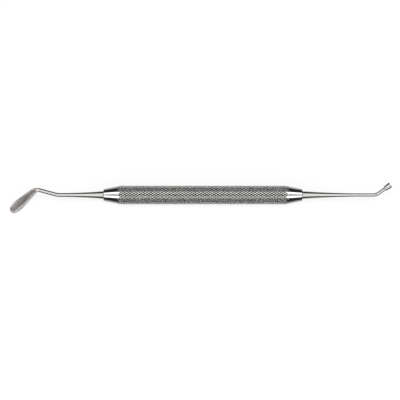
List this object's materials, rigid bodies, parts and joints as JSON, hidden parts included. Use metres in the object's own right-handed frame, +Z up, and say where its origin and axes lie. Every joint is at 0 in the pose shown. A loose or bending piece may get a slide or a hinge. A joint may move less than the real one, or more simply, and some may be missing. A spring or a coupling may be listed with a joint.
{
  "type": "plastic filling instrument",
  "caption": "Double-ended dental hand instrument: diamond-knurled round steel handle with a bent paddle blade at one end and a bent, flared, flat-faced plugger at the other.",
  "frame": {"origin": "centre of the bounding box at the level of the table that the instrument lies on", "axes": "+X along the handle towards the plugger, +Z up, +Y away from the side that the paddle's tip reaches down to"},
  "size_m": [0.165, 0.0118, 0.008],
  "materials": {
    "handle_steel": "polished",
    "tip_steel": "polished"
  },
  "bodies": {
    "root": {"handle": "handle_steel", "paddle_tip": "tip_steel", "plugger_tip": "tip_steel"}
  },
  "joints": []
}
